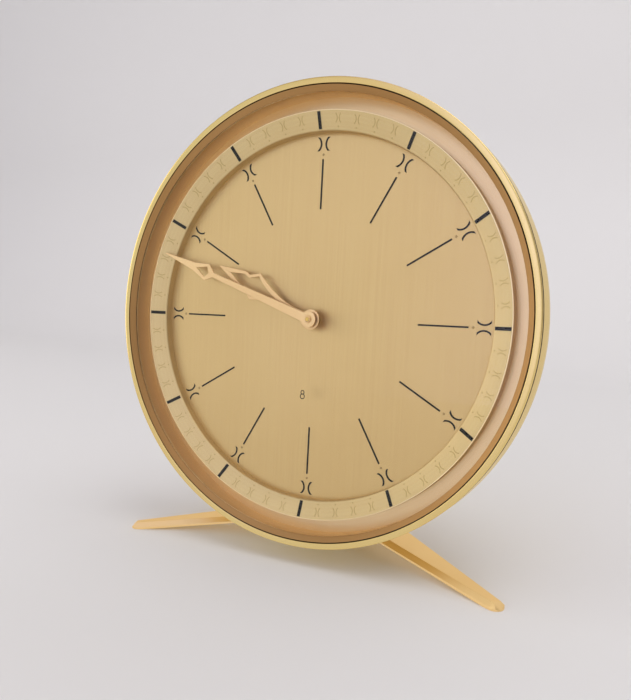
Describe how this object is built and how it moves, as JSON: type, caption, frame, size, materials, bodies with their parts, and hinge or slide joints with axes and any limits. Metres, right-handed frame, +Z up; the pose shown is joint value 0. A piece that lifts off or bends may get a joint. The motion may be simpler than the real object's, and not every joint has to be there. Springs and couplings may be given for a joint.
{
  "type": "table clock",
  "caption": "Round brass table clock with a domed back, raised hour ring, openwork hands and a wind-up movement, on a stand of flat pointed legs.",
  "frame": {"origin": "On the table, under the middle of the overall box.", "axes": "+Z up, the dial faces -Y and leans back, +X is to the right of a reader in front."},
  "size_m": [0.18, 0.1498, 0.1871],
  "materials": {
    "polished_brass": "bright polish",
    "leg_brass": "bright polish",
    "satin_dial": "fine vertical brushing",
    "gilt_ring": "satin gilt",
    "well_brass": "polish",
    "black_enamel": "gloss enamel",
    "gilt_hand": "satin gilt",
    "clear_glass": "clear polished",
    "cover_brass": "polish",
    "plate_brass": "grained",
    "wheel_brass": "fine brushing",
    "bright_steel": "fine brushing",
    "blued_spring": "tempered spring steel"
  },
  "bodies": {
    "case": {"bezel": "polished_brass", "bezel_line": "black_enamel", "glass": "clear_glass", "well_ring": "well_brass", "dial_plate": "satin_dial", "minute_ring": "gilt_ring", "hour_bars": "black_enamel", "hour_lines": "black_enamel", "hour_arcs": "black_enamel", "minute_wheel_stud": "bright_steel", "front_plate": "plate_brass", "back_plate": "plate_brass", "plate_pillars": "plate_brass", "pillar_screws": "bright_steel", "dial_feet": "plate_brass", "dial_foot_nuts": "bright_steel", "click": "bright_steel", "click_screw": "bright_steel", "hairspring": "blued_spring", "hairspring_stud": "bright_steel", "balance_cock": "plate_brass", "cock_screw": "bright_steel", "back_cover": "cover_brass", "cover_screws": "bright_steel", "case_shell": "polished_brass", "stand_hub": "leg_brass", "leg_screws": "bright_steel", "stand_bolt": "bright_steel", "leg_right": "leg_brass", "leg_left": "leg_brass", "leg_rear": "leg_brass"},
    "minute_hand": {"minute_hand": "gilt_hand", "cannon_pinion": "bright_steel", "hand_nut": "gilt_hand"},
    "hour_hand": {"hour_hand": "gilt_hand", "hour_wheel": "wheel_brass"},
    "minute_wheel": {"minute_wheel": "wheel_brass"},
    "setting": {"setting_arbor": "bright_steel", "setting_knob": "cover_brass"},
    "centre_wheel": {"centre_wheel": "wheel_brass"},
    "intermediate_wheel": {"intermediate_wheel": "wheel_brass"},
    "barrel": {"barrel": "wheel_brass", "barrel_lid": "wheel_brass", "mainspring": "blued_spring"},
    "winding": {"barrel_arbor": "bright_steel", "ratchet_wheel": "bright_steel", "winding_key": "cover_brass"},
    "third_wheel": {"third_wheel": "wheel_brass"},
    "fourth_wheel": {"fourth_wheel": "wheel_brass"},
    "escape_wheel": {"escape_wheel": "bright_steel"},
    "pallet_lever": {"pallet_lever": "bright_steel"},
    "balance_wheel": {"balance_wheel": "wheel_brass"},
    "regulator": {"regulator": "bright_steel"}
  },
  "joints": [
    {"name": "minute_hand_turn", "type": "hinge", "parent": "case", "child": "minute_hand", "pos_m": [0, -0.06163, 0.09704], "axis": [0, 0.9962, -0.0872], "continuous": true},
    {"name": "hour_hand_turn", "type": "hinge", "parent": "case", "child": "hour_hand", "pos_m": [0, -0.05974, 0.09687], "axis": [0, 0.9962, -0.0872], "continuous": true},
    {"name": "minute_wheel_turn", "type": "hinge", "parent": "case", "child": "minute_wheel", "pos_m": [-0.00432, -0.04991, 0.10352], "axis": [0, 0.9962, -0.0872], "continuous": true},
    {"name": "setting_turn", "type": "hinge", "parent": "case", "child": "setting", "pos_m": [-0.0118, -0.0497, 0.10784], "axis": [0, 0.9962, -0.0872], "continuous": true},
    {"name": "fourth_wheel_turn", "type": "hinge", "parent": "case", "child": "fourth_wheel", "pos_m": [0.01456, -0.03758, 0.1037], "axis": [0, 0.9962, -0.0872], "continuous": true},
    {"name": "third_wheel_turn", "type": "hinge", "parent": "case", "child": "third_wheel", "pos_m": [0.00504, -0.04081, 0.10398], "axis": [0, 0.9962, -0.0872], "continuous": true},
    {"name": "centre_wheel_turn", "type": "hinge", "parent": "case", "child": "centre_wheel", "pos_m": [0, -0.04658, 0.09572], "axis": [0, 0.9962, -0.0872], "continuous": true},
    {"name": "intermediate_wheel_turn", "type": "hinge", "parent": "case", "child": "intermediate_wheel", "pos_m": [-0.00979, -0.04521, 0.09102], "axis": [0, 0.9962, -0.0872], "continuous": true},
    {"name": "barrel_turn", "type": "hinge", "parent": "case", "child": "barrel", "pos_m": [-0.00619, -0.03966, 0.07704], "axis": [0, 0.9962, -0.0872], "continuous": true},
    {"name": "escape_wheel_turn", "type": "hinge", "parent": "case", "child": "escape_wheel", "pos_m": [0.01456, -0.04288, 0.09533], "axis": [0, 0.9962, -0.0872], "continuous": true},
    {"name": "winding_turn", "type": "hinge", "parent": "case", "child": "winding", "pos_m": [-0.00619, -0.03532, 0.07666], "axis": [0, -0.9962, 0.0872], "continuous": true},
    {"name": "pallet_lever_rock", "type": "hinge", "parent": "case", "child": "pallet_lever", "pos_m": [0.01571, -0.04344, 0.08885], "axis": [0, 0.9962, -0.0872], "range_deg": [-4, 4]},
    {"name": "balance_swing", "type": "hinge", "parent": "case", "child": "balance_wheel", "pos_m": [0.01692, -0.03782, 0.08144], "axis": [0, 0.9962, -0.0872], "range_deg": [-135, 135]},
    {"name": "regulator_turn", "type": "hinge", "parent": "case", "child": "regulator", "pos_m": [0.01692, -0.03338, 0.08105], "axis": [0, 0.9962, -0.0872], "range_deg": [-20, 20]}
  ],
  "couplings": [
    {"joint": "hour_hand_turn", "follows": "minute_hand_turn", "ratio": 0.083333},
    {"joint": "minute_wheel_turn", "follows": "minute_hand_turn", "ratio": -0.33333},
    {"joint": "setting_turn", "follows": "minute_hand_turn", "ratio": 1},
    {"joint": "third_wheel_turn", "follows": "fourth_wheel_turn", "ratio": -0.13333},
    {"joint": "centre_wheel_turn", "follows": "fourth_wheel_turn", "ratio": 0.016667},
    {"joint": "intermediate_wheel_turn", "follows": "fourth_wheel_turn", "ratio": -0.0033333},
    {"joint": "barrel_turn", "follows": "fourth_wheel_turn", "ratio": 0.00053333},
    {"joint": "escape_wheel_turn", "follows": "fourth_wheel_turn", "ratio": -10}
  ]
}
